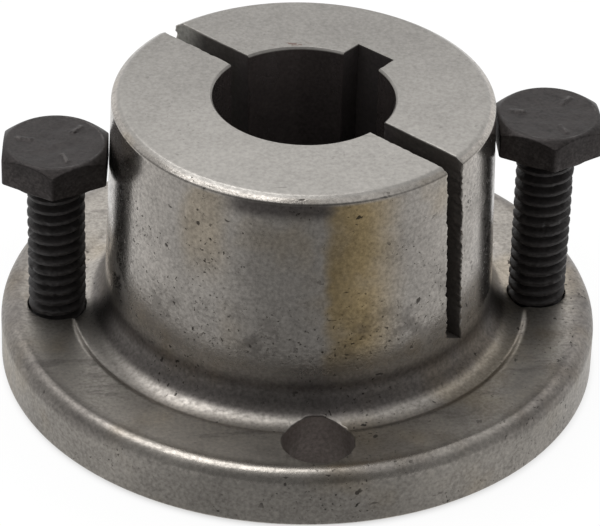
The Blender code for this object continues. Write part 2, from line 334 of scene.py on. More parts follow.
def slit_cutter(sizes):
    """The saw slit. Its walls wander by noise along the cut, and chips widen its edges."""
    height = sizes.height / MM
    bore = sizes.bore_diameter / MM / 2
    azimuth = sizes.keyway_azimuth - math.radians(90) + sizes.slit_turn
    lean = sizes.slit_lean
    offset = sizes.slit_offset / MM
    key_cos, key_sin = math.cos(sizes.keyway_azimuth), math.sin(sizes.keyway_azimuth)
    origin = np.array([offset * key_cos, offset * key_sin, height])
    cut_cos, cut_sin = math.cos(azimuth), math.sin(azimuth)
    lean_cos, lean_sin = math.cos(lean), math.sin(lean)
    run = np.array([cut_cos, cut_sin, 0])
    side = np.array([-cut_sin * lean_cos, cut_cos * lean_cos, lean_sin])
    rise = np.array([cut_sin * lean_sin, -cut_cos * lean_sin, lean_cos])
    nose = sizes.nose_diameter / MM / 2
    half = sizes.slit_width / MM / 2
    floor = -(height - sizes.flange_thickness / MM - sizes.slit_floor / MM)

    def place(a, y, u):
        """The point at a along the cut, y across it and u above the nose."""
        spread = a * barrel_radius(sizes, height + u) / nose
        near_floor = np.clip(1 - (u - floor) / 3, 0, 1)
        u = u - near_floor * y * math.tan(sizes.slit_floor_tilt) * np.sign(a)
        return origin + spread[..., None] * run + y[..., None] * side + u[..., None] * rise

    def half_width(a, u, wall):
        """From the middle of the cut to its ragged wall."""
        nominal = place(a, wall * half * np.ones_like(a), u)
        radius = np.hypot(nominal[..., 0], nominal[..., 1])
        to_barrel = barrel_radius(sizes, nominal[..., 2]) - radius
        under_nose = height - nominal[..., 2]
        depth = np.minimum(np.minimum(under_nose, to_barrel), radius - bore)
        seed = SLIT_SEEDS[wall]
        chips = value_noise(a * 1.7, u * 1.7, seed) - 0.6
        fine = value_noise(a * 4.3, u * 4.3, seed + 1) - 0.5
        edge = SLIT_EDGE + 0.5 * np.clip(chips, 0, 0.3) + 0.1 * np.clip(fine, 0, 0.5)
        at_skin = np.clip(1 - to_barrel / 1.6, 0, 1) * np.clip(under_nose / 1.5, 0, 1)
        marks = np.zeros_like(a)
        for number, (along_waves, up_waves, deep, near_skin) in enumerate(SLIT_MARKS, 2):
            noise = value_noise(a * along_waves, u * up_waves, seed + number) - 0.5
            marks += (deep + near_skin * at_skin) * noise
        marks = marks * np.clip((u - floor - 0.1) / 0.7, 0, 1)
        return half + marks + edge_flare(depth, edge)

    near_bore = np.linspace(8.9, 9.7, 6)
    through_wall = np.linspace(9.9, nose - 0.7, 40)
    near_skin = np.linspace(nose - 0.6, nose + 0.12, 15)
    one_side = np.concatenate([near_bore, through_wall, near_skin, [nose + 0.5, nose + 3]])
    along = np.concatenate([-one_side[::-1], one_side])
    up = np.concatenate([np.linspace(floor, -0.55, 150), np.linspace(-0.5, 0.06, 15), [0.4, 2.0]])
    return grid_object("slit_cutter", slot_rows(along, up, half_width, place))


def keyway_cutter(sizes):
    """The keyway, open to the bore, its section carried along the whole length of the bore."""
    height = sizes.height / MM
    bore = sizes.bore_diameter / MM / 2
    out = np.array([math.cos(sizes.keyway_azimuth), math.sin(sizes.keyway_azimuth), 0])
    side = np.array([-out[1], out[0], 0])
    lift = np.array([0, 0, 1])

    def place(a, y, u):
        """The point at height a, y across the keyway and u out from the axis."""
        return u[..., None] * out + y[..., None] * side + a[..., None] * lift

    def half_width(a, u, wall):
        """From the middle of the keyway to its wall."""
        half = sizes.keyway_width / MM / 2
        radius = np.hypot(u, half)
        depth = np.minimum(np.minimum(height - a, a), radius - bore)
        chips = value_noise(a * 2.1, u * 2.1, KEYWAY_SEEDS[wall]) - 0.6
        edge = KEYWAY_EDGE + 0.3 * np.clip(chips, 0, 0.4)
        return half + edge_flare(depth, edge)

    ends = np.linspace(-0.05, 0.45, 10)
    middle = np.linspace(1, height - 1, 40)
    beyond = [height + 0.4, height + 2]
    along = np.concatenate([[-2, -0.4], ends, middle, height - ends[::-1], beyond])
    key_floor = bore + sizes.keyway_depth / MM
    walls = np.linspace(bore + 2.0, bore + 0.4, 6)
    mouth = np.linspace(bore + 0.3, bore - 0.6, 14)
    up = np.concatenate([[key_floor], walls, mouth, [2.0]])
    return grid_object("keyway_cutter", slot_rows(along, up, half_width, place))


def hole_cutter(sizes, name, azimuth, diameter, flare, chipping):
    """A screw hole through the flange: r = radius + the edge's round, with a slight wander.

    Its upper edge follows the turned surface, which rises towards the barrel's foot.
    """
    radius = diameter / MM / 2
    angle = np.linspace(0, 2 * np.pi, 96, endpoint=False)
    centre = sizes.bolt_circle_diameter / MM / 2
    middle_x, middle_y = centre * math.cos(azimuth), centre * math.sin(azimuth)
    lip = radius + flare
    from_axis = np.hypot(middle_x + lip * np.cos(angle), middle_y + lip * np.sin(angle))
    outline = top_outline(sizes)
    top = np.interp(from_axis, outline[:, 0], outline[:, 1])
    mouth = np.linspace(-0.04, flare + 0.2, 16)[:, None] * np.ones_like(angle)
    share = np.linspace(0, 1, 40)[:, None]
    below = flare + 0.25
    wall = below + share * (top - 2 * below)
    far = np.ones((1, len(angle)))
    z = np.concatenate([-2 * far, mouth, wall, top - mouth[::-1], (top + 2) * far])
    step = edge_flare(np.minimum(z, top - z), flare)
    step = np.minimum(step, flare + 0.04)
    chips = np.clip(value_noise(angle * 6 + 3, 0 * angle + 1.5, 77) - 0.62, 0, 1)
    chips = chips * np.clip(1 - (top - z) / 0.5, 0, 1)
    wander = 0.03 * (value_noise(angle * 2.5, z * 1.5, 71) - 0.5)
    r = radius + step + wander + chipping * chips
    x = middle_x + r * np.cos(angle)
    y = middle_y + r * np.sin(angle)
    return grid_object(name, np.stack([x, y, z], axis=-1))


def head_columns(per_flat):
    """Angles round a hexagon, drawn together at its corners: t - 0.85 sin(2 pi t) / (2 pi)."""
    t = np.linspace(0, 1, per_flat, endpoint=False)
    t = t - 0.85 * np.sin(2 * np.pi * t) / (2 * np.pi)
    return (np.arange(6)[:, None] + t).ravel() * np.pi / 3


def screw_rows(sizes, seed):
    """A hexagon cap screw as a grid: each row is one station from the head's middle, over its
    edge, down the flats, in under the head and down the thread to the point.

    A hexagon's radius at an angle is half its width over flats / cos(angle from the flat's
    middle). The chamfer lowers the top by (r - top radius) tan(chamfer angle). The thread's
    radius rises and falls once for each pitch of (z - pitch * angle / full turn).
    """
    angle = head_columns(30)
    from_flat = (angle % (np.pi / 3)) - np.pi / 6
    flats = sizes.across_flats / MM / 2
    corner = flats / np.cos(from_flat)
    limit = flats / math.cos(math.pi / 6) - CORNER_WEAR
    hexagon = -np.log(np.exp(-corner / 0.03) + np.exp(-limit / 0.03)) * 0.03
    head = sizes.head_height / MM
    top = sizes.head_top_diameter / MM / 2
    washer = top - WASHER_INSET
    shank = sizes.thread_diameter / MM / 2
    neck = shank * RELIEVED_SHANK
    one = np.ones_like(angle)
    shoulder = head - (hexagon - top) * math.tan(sizes.chamfer_angle)
    corners = np.stack(
        [
            np.stack([0.1 * one, head * one], axis=-1),
            np.stack([top * one, head * one], axis=-1),
            np.stack([hexagon, shoulder], axis=-1),
            np.stack([hexagon, (WASHER_HEIGHT + 0.02) * one], axis=-1),
            np.stack([washer * one, WASHER_HEIGHT * one], axis=-1),
            np.stack([washer * one, 0 * one], axis=-1),
            np.stack([neck * one, 0 * one], axis=-1),
            np.stack([neck * one, -2 * one], axis=-1),
        ]
    )
    radii = [0.001, 0.5, 0.16, 0.1, 0.03, 0.06, 0.25, 0.001]
    steps = 5
    outline = rounded(corners, radii, steps)[steps:-steps]
    middle = np.linspace(0.35, top - 0.25, 30)[:, None] * one
    dish = DISH_DEPTH * np.clip((middle / top) ** 2, 0, 1) - DISH_DEPTH
    inner, outer = DASH_ENDS
    within = np.clip((middle - inner) / 0.2, 0, 1) * np.clip((outer - middle) / 0.2, 0, 1)
    marks = np.zeros_like(middle)
    for dash in np.radians(DASH_AZIMUTHS):
        across = np.abs(middle * np.sin(angle - dash))
        in_front = np.cos(angle - dash) > 0
        marks += in_front * within * np.clip((DASH_HALF_WIDTH - across) / 0.14, 0, 1)
    x = middle * np.cos(angle) + 9
    y = middle * np.sin(angle) + 9
    dull = 0.5 + 0.7 * value_noise(x * 1.3, y * 1.3, seed + 8)
    height = head + dish + DASH_HEIGHT * marks * dull
    height += 0.09 * (value_noise(x * 0.8, y * 0.8, seed) - 0.5)
    height += 0.035 * (value_noise(x * 2.3, y * 2.3, seed + 9) - 0.5)
    face = np.stack([middle, height], axis=-1)

    screw_length = sizes.screw_length / MM
    z = np.arange(-0.55, -screw_length, -0.08)[:, None] * one
    pitch = sizes.thread_pitch / MM
    turn = ((z + sizes.thread_start / MM) / pitch - angle / (2 * np.pi)) % 1
    from_groove = np.minimum(turn, 1 - turn) * pitch
    flank = sizes.thread_depth / MM * math.tan(math.radians(30))
    ridge = np.clip((from_groove - 0.03) / flank, 0, 1)
    ridge = ridge * ridge * (3 - 2 * ridge) * 0.4 + ridge * 0.6
    root = shank - sizes.thread_depth / MM
    run_out = np.clip((-0.7 - z) / 0.9, 0, 1)
    depth = root * run_out + neck * (1 - run_out)
    crest = shank * run_out + neck * (1 - run_out)
    r = depth + (crest - depth) * ridge
    dents = value_noise(angle * 3.1, z * 2.3, seed + 5)
    r -= 0.2 * np.clip(dents - 0.74, 0, 0.26) / 0.26 * ridge * run_out
    r += 0.05 * (value_noise(angle * 9.0, z * 5.0, seed + 6) - 0.5) * ridge * run_out
    point = shank - POINT_CHAMFER + (z + screw_length)
    r = np.minimum(r, point)
    thread = np.stack([r, z], axis=-1)
    last = np.stack([(shank - POINT_CHAMFER - 0.01) * one, -screw_length * one], axis=-1)[None]
    rows = np.concatenate([face, outline, thread, last])
    return angle, rows


def screw_wear(rows, head, top):
    """Rubbed metal, 0 to 1: near the chamfer's two edges and on the thread's crests."""
    r, z = rows[..., 0], rows[..., 1]
    step = np.abs(np.diff(rows, axis=0, prepend=rows[:1])).sum(-1)
    slope = np.abs(np.diff(z, axis=0, prepend=z[:1])) / np.maximum(step, 1e-6)
    turning = np.abs(np.diff(slope, axis=0, append=slope[-1:]))
    on_head = z > 0.2
    crest = np.clip((r - r[z < -2].max() + 0.12) / 0.12, 0, 1) * (z < -0.6)
    edge = np.clip(turning * 3, 0, 1) * on_head * (r > top - 0.4) * (z < head + 0.2)
    raised = np.clip((z - head - 0.02) / 0.1, 0, 1)
    return np.clip(edge + 0.7 * crest + raised, 0, 1)


# Node trees


class Tree:
    """A node tree that is written from its start to its end, one node for each call."""

    def __init__(self, tree):
        self.tree = tree
        tree.nodes.clear()

    def node(self, kind, inputs=(), **settings):
        """A new node: inputs holds the values or links of its sockets by name or number."""
        made = self.tree.nodes.new(kind)
        for key, value in settings.items():
            setattr(made, key, value)
        for key, value in dict(inputs).items():
            self.feed(made.inputs[key], value)
        return made

    def feed(self, socket, value):
        """Links a node's first output or a socket, or sets a number, a vector or a colour."""
        if isinstance(value, bpy.types.Node):
            value = next(s for s in value.outputs if s.enabled)
        if isinstance(value, bpy.types.NodeSocket):
            self.tree.links.new(value, socket)
        else:
            socket.default_value = (*value, 1) if isinstance(value, Color) else value

    def maths(self, operation, *values, clamp=False):
        """One operation of the Math node."""
        return self.node(
            "ShaderNodeMath", dict(enumerate(values)), operation=operation, use_clamp=clamp
        )

    def ramp(self, value, low, high, to_low=0.0, to_high=1.0, smooth=True):
        """value from low to high, carried to to_low and to_high and held there."""
        ends = {"From Min": low, "From Max": high, "To Min": to_low, "To Max": to_high}
        kind = "SMOOTHSTEP" if smooth else "LINEAR"
        return self.node("ShaderNodeMapRange", {"Value": value, **ends}, interpolation_type=kind)

    def window(self, value, start, full, falling, end):
        """1 from full to falling, and 0 outside start and end."""
        return self.product(self.ramp(value, start, full), self.ramp(value, falling, end, 1.0, 0.0))

    def product(self, first, *others):
        """All the values multiplied."""
        for other in others:
            first = self.maths("MULTIPLY", first, other)
        return first

    def rest(self, mask):
        """What a mask leaves: 1 where it is 0."""
        return self.maths("SUBTRACT", 1.0, mask)

    def attribute(self, name):
        """A number that the mesh keeps for each point."""
        return self.node("ShaderNodeAttribute", attribute_name=name).outputs["Fac"]

    def reach(self, x, y):
        """The distance from the Z axis."""
        flat = self.node("ShaderNodeCombineXYZ", {"X": x, "Y": y})
        return self.node("ShaderNodeVectorMath", {0: flat}, operation="LENGTH").outputs["Value"]

    def between(self, factor, a, b):
        """A value that goes from a to b as the factor goes from 0 to 1."""
        mix = self.node("ShaderNodeMix", {"Factor": factor, "A": a, "B": b}, data_type="FLOAT")
        return mix.outputs["Result"]

    def grey(self, value):
        """A value as a grey colour."""
        made = self.node("ShaderNodeCombineColor", {0: value, 1: value, 2: value})
        return made.outputs["Color"]

    def blend(self, factor, a, b, mode="MIX"):
        """The colour a with b laid over it by the factor."""
        made = self.node("ShaderNodeMix", data_type="RGBA", blend_type=mode)
        for key, value in (("Factor_Float", factor), ("A_Color", a), ("B_Color", b)):
            self.feed(next(s for s in made.inputs if s.identifier == key), value)
        return next(s for s in made.outputs if s.identifier == "Result_Color")

    def noise(self, vector, scale, detail=2.0, roughness=0.5):
        """Noise from 0 to 1, mostly near 0.5."""
        inputs = {"Vector": vector, "Scale": scale, "Detail": detail, "Roughness": roughness}
        return self.node("ShaderNodeTexNoise", inputs).outputs["Fac"]


def group_tree(name, inputs, outputs):
    """An empty shader node group with named sockets, and its input and output nodes."""
    group = bpy.data.node_groups.new(name, "ShaderNodeTree")
    for label, kind, value in inputs:
        socket = group.interface.new_socket(label, in_out="INPUT", socket_type=kind)
        if value is not None:
            socket.default_value = value
    for label in outputs:
        group.interface.new_socket(label, in_out="OUTPUT", socket_type="NodeSocketFloat")
    tree = Tree(group)
    return group, tree, tree.node("NodeGroupInput"), tree.node("NodeGroupOutput")


def pitting_group():
    """Small ragged pits: the peaks of a noise above a threshold. A higher one leaves fewer."""
    group, tree, start, end = group_tree(
        "Pitting",
        [
            ("Vector", "NodeSocketVector", None),
            ("Scale", "NodeSocketFloat", 1000.0),
            ("Threshold", "NodeSocketFloat", 0.7),
        ],
        ["Pits"],
    )
    grain = tree.noise(start.outputs["Vector"], start.outputs["Scale"], 3.0, 0.55)
    over = tree.maths("SUBTRACT", grain, start.outputs["Threshold"])
    tree.feed(end.inputs["Pits"], tree.ramp(over, 0.0, 0.035))
    return group


def mottle_group():
    """Tone that varies over a surface: a coarse cloud and a fine grain, both about zero."""
    group, tree, start, end = group_tree(
        "Mottle",
        [
            ("Vector", "NodeSocketVector", None),
            ("Cloud Scale", "NodeSocketFloat", 120.0),
            ("Grain Scale", "NodeSocketFloat", 2500.0),
            ("Cloud", "NodeSocketFloat", 0.1),
            ("Grain", "NodeSocketFloat", 0.1),
        ],
        ["Tone", "Grain Height"],
    )
    cloud = tree.noise(start.outputs["Vector"], start.outputs["Cloud Scale"], 4.0, 0.6)
    grain = tree.noise(start.outputs["Vector"], start.outputs["Grain Scale"], 2.0, 0.6)
    cloud_part = tree.maths("MULTIPLY", tree.maths("SUBTRACT", cloud, 0.5), start.outputs["Cloud"])
    grain_part = tree.maths("MULTIPLY", tree.maths("SUBTRACT", grain, 0.5), start.outputs["Grain"])
    tree.feed(end.inputs["Tone"], tree.maths("ADD", cloud_part, grain_part))
    tree.feed(end.inputs["Grain Height"], grain)
    return group


def use_group(tree, name, **inputs):
    """Places a shared group in a material. It is built the first time it is asked for."""
    group = bpy.data.node_groups.get(name) or SHARED_GROUPS[name]()
    made = tree.node("ShaderNodeGroup", node_tree=group)
    for key, value in inputs.items():
        tree.feed(made.inputs[key.replace("_", " ")], value)
    return made


def pits(tree, vector, scale, threshold):
    """The mask of the Pitting group at one size."""
    made = use_group(tree, "Pitting", Vector=vector, Scale=scale, Threshold=threshold)
    return made.outputs["Pits"]


SHARED_GROUPS = {"Pitting": pitting_group, "Mottle": mottle_group}


def new_material(name):
    """An empty material and its tree."""
    material = bpy.data.materials.new(name)
    material.use_nodes = True
    return material, Tree(material.node_tree)


def principled(tree, colour, metal, rough, bump):
    """Ends a material's tree in one shader."""
    inputs = {"Base Color": colour, "Metallic": metal, "Roughness": rough, "Normal": bump}
    shader = tree.node("ShaderNodeBsdfPrincipled", inputs)
    tree.node("ShaderNodeOutputMaterial", {"Surface": shader.outputs["BSDF"]})


def iron_zones(tree, sizes):
    """The parts of the bushing as masks, with the coordinates that they come from.

    Height and radius in Object coordinates tell apart the ground nose, the turned barrel and
    its foot, the rougher flange and the dark bore, and x + y gives the keyway's side. The depth
    attribute, which is above zero in the slit, the keyway and the holes, gives the cuts.
    """
    place = tree.node("ShaderNodeTexCoord").outputs["Object"]
    x, y, height = tree.node("ShaderNodeSeparateXYZ", {"Vector": place}).outputs
    radius = tree.reach(x, y)
    inside = tree.ramp(tree.attribute("depth"), 0.00005, 0.00025)
    outside = tree.rest(inside)

    flange_top = sizes.flange_thickness
    foot_top = flange_top + sizes.foot_radius
    groove_edge = sizes.groove_diameter / 2
    bore_radius = sizes.bore_diameter / 2
    key_radius = bore_radius + sizes.keyway_depth + 0.0005
    nose = tree.product(tree.ramp(height, sizes.height - 0.00035, sizes.height - 0.00012), outside)
    below_nose = tree.rest(nose)
    flange = tree.ramp(height, flange_top + 0.0001, flange_top + 0.0004, 1.0, 0.0)
    flange = tree.product(flange, tree.ramp(radius, groove_edge - 0.0005, groove_edge + 0.0002))
    # The foot's mask also carries painted shade: the barrel darkens where it meets the flange.
    foot = tree.window(height, flange_top, flange_top + 0.0006, foot_top - 0.0005, foot_top + 0.0015)
    turned_foot = tree.product(
        tree.ramp(height, foot_top, foot_top + 0.002, 1.0, 0.0), tree.rest(flange)
    )
    key_side = tree.ramp(tree.maths("ADD", x, y), 0.009, 0.011)
    in_key = tree.product(key_side, tree.ramp(radius, key_radius, key_radius + 0.0002, 1.0, 0.0))
    # The bore and the keyway are painted dark as shade.
    near_bore = tree.ramp(radius, bore_radius + 0.0004, bore_radius + 0.0025, 1.0, 0.0)
    bore = tree.product(tree.maths("MAXIMUM", near_bore, in_key), below_nose)
    drilled = tree.ramp(height, flange_top + 0.0008, flange_top + 0.0015, 1.0, 0.0)
    rim = tree.product(flange, tree.ramp(radius, 0.0290, 0.0302), tree.ramp(height, 0.0044, 0.0052))
    return SimpleNamespace(
        place=place,
        y=y,
        height=height,
        radius=radius,
        azimuth=tree.maths("ARCTAN2", y, x),
        inside=inside,
        outside=outside,
        nose=nose,
        below_nose=below_nose,
        barrel=tree.product(below_nose, tree.window(height, *BARREL_SIDE)),
        foot=foot,
        turned_foot=turned_foot,
        flange=flange,
        rim=rim,
        to_side=tree.ramp(tree.maths("ABSOLUTE", x), 0.012, 0.027),
        bore=bore,
        in_key=in_key,
        drilled=drilled,
    )


def iron_marks(tree, zone):
    """The wear and dirt on the bushing as masks, with painted shade and a painted dark reflection,
    each in its own window of the zones.
    """
    place, height, nose = zone.place, zone.height, zone.nose
    clouds = tree.noise(place, 140.0, 3.0, 0.6)
    wave = tree.product(tree.maths("SUBTRACT", clouds, 0.5), 0.16)
    wavy = tree.maths("ADD", zone.azimuth, wave)

    band = tree.window(wavy, *STAIN_BAND)
    patch = tree.product(tree.window(wavy, *STAIN_PATCH), tree.ramp(height, 0.019, 0.025), 0.35)
    film = tree.ramp(tree.noise(place, 75.0, 3.0, 0.55), 0.52, 0.68)
    film = tree.product(film, zone.below_nose, 0.3)
    stain = tree.maths("MAXIMUM", band, patch)
    stain = tree.product(stain, zone.barrel, tree.ramp(clouds, 0.3, 0.6, 0.6, 1.0))
    # Painted reflection: a dark band under the nose's edge at the front.
    painted_reflection = tree.product(tree.window(wavy, *REFLECTION_AZIMUTH), tree.window(height, *REFLECTION_HEIGHT))
    # Painted shade: a dark patch on the foot at the front.
    front_shade = tree.product(tree.window(wavy, *FRONT_SHADE_AZIMUTH), tree.window(zone.radius, *FRONT_SHADE_RADIUS))
    blotches = tree.ramp(tree.noise(place, 230.0, 4.0, 0.65), 0.5, 0.68)
    blotches = tree.product(blotches, zone.barrel, tree.ramp(height, 0.012, 0.022, 1.3, 0.35))

    drawn_out = tree.node("ShaderNodeMapping", {"Vector": place, **DRAWN_OUT})
    streaks = tree.ramp(tree.noise(drawn_out, 420.0, 4.0, 0.65), 0.57, 0.66)
    dirt = tree.ramp(tree.noise(place, 95.0, 5.0, 0.65), 0.46, 0.66)
    dirt = tree.maths("MAXIMUM", dirt, streaks)
    dirt = tree.product(dirt, zone.flange, tree.ramp(height, 0.005, 0.0062))

    fine = tree.maths("MAXIMUM", pits(tree, place, *FINE_PITS), pits(tree, place, *SPECKS))
    patches = tree.ramp(tree.noise(place, 110.0, 3.0, 0.6), 0.5, 0.6)
    pitted_band = tree.product(tree.window(height, *PITTED_HEIGHT), 0.8)
    fine = tree.product(fine, tree.maths("MAXIMUM", patches, pitted_band))
    coarse = tree.maths("MAXIMUM", pits(tree, place, *LARGE_PITS), pits(tree, drawn_out, *SCRATCHES))
    coarse = tree.product(coarse, tree.ramp(clouds, 0.4, 0.6, 0.3, 1.0))
    pitted = tree.maths("MAXIMUM", fine, coarse)
    pitted = tree.product(pitted, tree.ramp(nose, 0.0, 1.0, 0.85, 0.25), zone.outside)

    flecks = tree.ramp(tree.noise(place, 1500.0, 2.0, 0.6), 0.5, 0.6)
    behind_bore = tree.window(zone.azimuth, *RUST_AZIMUTH)
    rust = tree.product(tree.window(zone.radius, *RUST_RADIUS), behind_bore, flecks, nose)
    return SimpleNamespace(
        stain=tree.maths("MAXIMUM", stain, film),
        painted_reflection=painted_reflection,
        front_shade=front_shade,
        blotches=blotches,
        dirt=dirt,
        pits=pitted,
        rust=rust,
        # Painted shade: the flange's rounded edge is dimmed, most at the sides.
        shaded_rim=tree.product(zone.rim, tree.ramp(zone.to_side, 0.0, 1.0, 0.15, 1.0)),
        worn_rim=tree.product(zone.rim, tree.rest(zone.to_side)),
    )


def iron_colour(tree, finish, sizes, zone, mark, tone):
    """The iron's colour: the zones, then grime, painted shade, a painted reflection and stains, then
    the cuts and the bore with their painted light and shade.
    """
    # Painted shade: the nose face darkens from the front to the back.
    nose_shading = tree.ramp(zone.y, -0.018, 0.016, finish.nose_front, finish.nose_back_shade)
    nose_colour = tree.blend(1.0, finish.nose_colour, tree.grey(nose_shading), "MULTIPLY")
    colour = tree.blend(zone.nose, finish.barrel_colour, nose_colour)
    colour = tree.blend(zone.flange, colour, finish.flange_colour)
    # Blotches and flange dirt are dirt; the foot, the front patch, the rim's edge and the band under
    # the nose are painted shade and a painted reflection, all in the same dark colour.
    for mask, strength in (
        (zone.foot, finish.foot_shade),
        (mark.blotches, finish.blotches),
        (mark.dirt, finish.flange_grime),
        (mark.front_shade, finish.front_shade),
        (mark.shaded_rim, finish.rim_shade),
        (mark.painted_reflection, finish.painted_reflection),
    ):
        colour = tree.blend(tree.product(mask, strength), colour, finish.grime_and_shade_colour)
    colour = tree.blend(mark.stain, colour, finish.stain_colour, "MULTIPLY")

    # The slit's walls: painted light on the far wall near the nose and the skin, painted shade deeper
    # in.
    lit_end = tree.product(
        tree.ramp(zone.height, sizes.height - 0.006, sizes.height - 0.002),
        tree.ramp(zone.y, -0.002, 0.002),
        tree.ramp(zone.radius, 0.0155, 0.0185),
    )
    sawn = tree.blend(lit_end, finish.slit_shade_colour, finish.slit_lit_colour)
    colour = tree.blend(zone.inside, colour, tree.blend(zone.drilled, sawn, finish.hole_colour))
    # Painted shade in the bore, a little deeper in the keyway.
    bore_tone = tree.grey(tree.ramp(zone.in_key, 0.0, 1.0, 1.0, finish.keyway_tone))
    colour = tree.blend(zone.bore, colour, tree.blend(1.0, finish.bore_shade_colour, bore_tone, "MULTIPLY"))
    tone = tree.maths("ADD", 1.0, tree.product(tone, tree.ramp(zone.nose, 0.0, 1.0, 1.0, 0.5)))
    colour = tree.blend(1.0, colour, tree.grey(tone), "MULTIPLY")
    colour = tree.blend(mark.pits, colour, finish.pit_colour)
    return tree.blend(tree.product(mark.rust, 0.7), colour, finish.rust_colour)


def machined_iron(finish, sizes):
    """Turned and ground iron whose finish changes with the place on the bushing."""
    material, tree = new_material("machined iron")
    zone = iron_zones(tree, sizes)
    mark = iron_marks(tree, zone)
    mottle = use_group(tree, "Mottle", Vector=zone.place, Cloud_Scale=170.0, Cloud=0.55, Grain=1.1)
    tone = mottle.outputs["Tone"]
    colour = iron_colour(tree, finish, sizes, zone, mark, tone)

    cuts = tree.between(zone.drilled, finish.cut_roughness, finish.hole_roughness)
    rough = tree.between(zone.nose, finish.barrel_roughness, finish.nose_roughness)
    rough = tree.between(zone.flange, rough, finish.flange_roughness)
    rough = tree.between(mark.worn_rim, rough, finish.rim_roughness)
    rough = tree.between(zone.turned_foot, rough, finish.foot_roughness)
    rough = tree.between(zone.inside, rough, cuts)
    rough = tree.maths("ADD", rough, tree.product(tone, -0.2))
    marred = tree.product(tree.maths("MAXIMUM", mark.pits, mark.blotches), 0.2)
    rough = tree.maths("ADD", rough, marred, clamp=True)

    # Cut walls are duller, and the bore loses its metal as part of its painted shade.
    dull_and_shaded = tree.product(zone.inside, tree.ramp(zone.drilled, 0.0, 1.0, 1.0, finish.hole_dirt))
    dull_and_shaded = tree.maths("MAXIMUM", dull_and_shaded, zone.bore)
    bare = tree.between(zone.flange, 1.0, finish.flange_metal)
    metal = tree.maths("SUBTRACT", bare, dull_and_shaded, clamp=True)

    section = tree.node("ShaderNodeCombineXYZ", {"X": zone.radius, "Z": zone.height})
    rings = tree.product(tree.noise(section, 5200.0, 1.0), 0.25)
    relief = tree.maths("ADD", mottle.outputs["Grain Height"], rings)
    relief = tree.maths("SUBTRACT", relief, tree.product(mark.pits, 1.5))
    bump = tree.node("ShaderNodeBump", {"Strength": 0.4, "Distance": 0.00003, "Height": relief})
    principled(tree, colour, metal, rough, bump)
    return material


def black_oxide(finish):
    """Blackened steel, rubbed to a duller grey where the wear attribute is high, and darker and
    less metallic on the threads and a little on the head's top, where its other attribute is high.
    """
    material, tree = new_material("black oxide steel")
    place = tree.node("ShaderNodeTexCoord").outputs["Object"]
    wear = tree.attribute("wear")
    darkening = tree.attribute("darkening")
    scales = {"Cloud_Scale": 420.0, "Grain_Scale": 3000.0}
    mottle = use_group(tree, "Mottle", Vector=place, Cloud=1.0, Grain=1.5, **scales)
    tone = mottle.outputs["Tone"]
    colour = tree.blend(darkening, finish.oxide_colour, finish.thread_colour)
    colour = tree.blend(1.0, colour, tree.grey(tree.maths("ADD", 1.0, tone)), "MULTIPLY")
    rub = tree.maths("ADD", wear, tree.product(tone, 1.2))
    rub = tree.product(tree.ramp(rub, 0.3, 1.1), wear, tree.ramp(darkening, 0.0, 1.0, 0.55, 0.2))
    colour = tree.blend(rub, colour, finish.rubbed_colour)
    rough = tree.maths("ADD", finish.oxide_roughness, tree.product(tone, 0.15))
    metal = tree.ramp(darkening, 0.0, 1.0, 1.0, finish.thread_metal)
    grain = mottle.outputs["Grain Height"]
    bump = tree.node("ShaderNodeBump", {"Strength": 0.6, "Distance": 0.00005, "Height": grain})
    principled(tree, colour, metal, rough, bump)
    return material


def finish_shading(obj, angle):
    """Smooth faces with sharp edges over an angle; a large flat face keeps its own normal."""
    mesh = obj.data
    mesh.polygons.foreach_set("use_smooth", [True] * len(mesh.polygons))
    mesh.set_sharp_from_angle(angle=angle)
    modifier = obj.modifiers.new("Weighted normals", "WEIGHTED_NORMAL")
    modifier.keep_sharp = True
    modifier.weight = 50


# Settings


def length_of(name, description, default):
    """A setting in metres."""
    return bpy.props.FloatProperty(
        name=name, description=description, default=default, unit="LENGTH", precision=5
    )


def angle_of(name, description, degrees):
    """A setting in radians whose default is given in degrees."""
    return bpy.props.FloatProperty(
        name=name, description=description, default=math.radians(degrees), subtype="ANGLE"
    )


def colour_of(name, description, default):
    """A colour in linear red, green and blue."""
    return bpy.props.FloatVectorProperty(
        name=name, description=description, default=default, subtype="COLOR", size=3, min=0, max=1
    )


def share_of(name, description, default):
    """A setting from 0 to 1."""
    return bpy.props.FloatProperty(
        name=name, description=description, default=default, subtype="FACTOR", min=0, max=1
    )


class BushingSizes(bpy.types.PropertyGroup):
    """Sizes of the bushing"""

    height: length_of("Height", "Flange and barrel together", BUSHING_BOX[1].z)
    flange_diameter: length_of("Flange diameter", "Across the flange", 2 * BUSHING_BOX[1].x)
    flange_thickness: length_of("Flange thickness", "Thickness of the flange", 0.00635)
    nose_diameter: length_of("Nose diameter", "Across the barrel at its nose", 0.03989)
    taper: bpy.props.FloatProperty(
        name="Taper", description="Growth in diameter for each unit of length", default=0.0625
    )
    foot_radius: length_of("Foot radius", "Round between the barrel and the flange", 0.0033)
    groove_diameter: length_of("Groove diameter", "Outer edge of the foot groove", 0.04924)
    groove_depth: length_of("Groove depth", "Depth of the foot groove", 0.00027)
    bore_diameter: length_of("Bore diameter", "Across the bore", 0.01905)
    keyway_width: length_of("Keyway width", "Width of the keyway", 0.0047625)
    keyway_depth: length_of("Keyway depth", "Depth of the keyway past the bore", 0.0022)
    keyway_azimuth: angle_of("Keyway direction", "From the X axis", 45)
    slit_width: length_of("Slit width", "Width of the saw slit", 0.00245)
    slit_floor: length_of("Slit floor", "Height of the slit's floor above the flange", 0.004)
    slit_floor_tilt: angle_of("Floor tilt", "Tilt of the slit's floor across the cut", 30)
    slit_offset: length_of("Slit offset", "Distance of the slit from the middle", 0.00054)
    slit_turn: angle_of("Slit turn", "Turn of the slit away from square", -1.2)
    slit_lean: angle_of("Slit lean", "Lean of the slit away from upright", 1.6)
    bolt_circle_diameter: length_of("Bolt circle", "Across the middles of opposite holes", 0.05151)
    plain_hole_diameter: length_of("Plain hole", "Across a plain hole", 0.0075)
    tapped_hole_diameter: length_of("Tapped hole", "Across a tapped hole", 0.00626)


